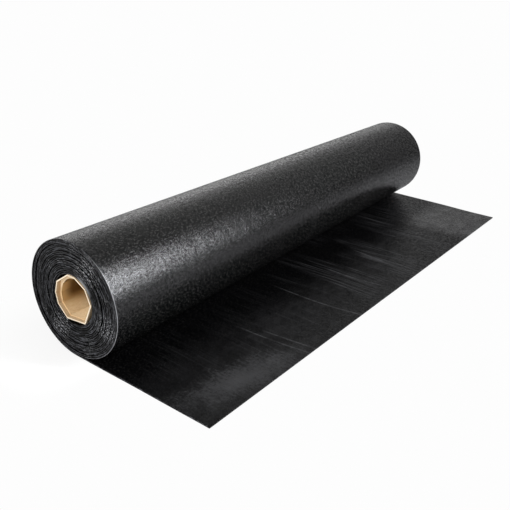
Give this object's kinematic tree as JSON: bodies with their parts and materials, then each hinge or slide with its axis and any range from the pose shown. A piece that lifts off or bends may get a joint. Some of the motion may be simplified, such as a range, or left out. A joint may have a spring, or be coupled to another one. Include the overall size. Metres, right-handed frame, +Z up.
{
  "type": "roofing felt roll",
  "caption": "Black roofing felt wound on a faceted cardboard core, lying on its side with a short flat loose end cut a little out of square.",
  "frame": {"origin": "on the floor, at the centre of the footprint of the roll and its loose end", "axes": "+Z up from the floor, +Y along the roll's axis away from the end with the open core, +X the way the loose end runs out from under the roll"},
  "size_m": [0.3728, 1, 0.1761],
  "materials": {
    "felt": "black bitumen felt with a fine fibrous grain, dull with a soft sheen",
    "cardboard": "plain brown spiral-wound cardboard, matt"
  },
  "bodies": {
    "root": {"felt_sheet": "felt", "cardboard_core": "cardboard"}
  },
  "joints": []
}
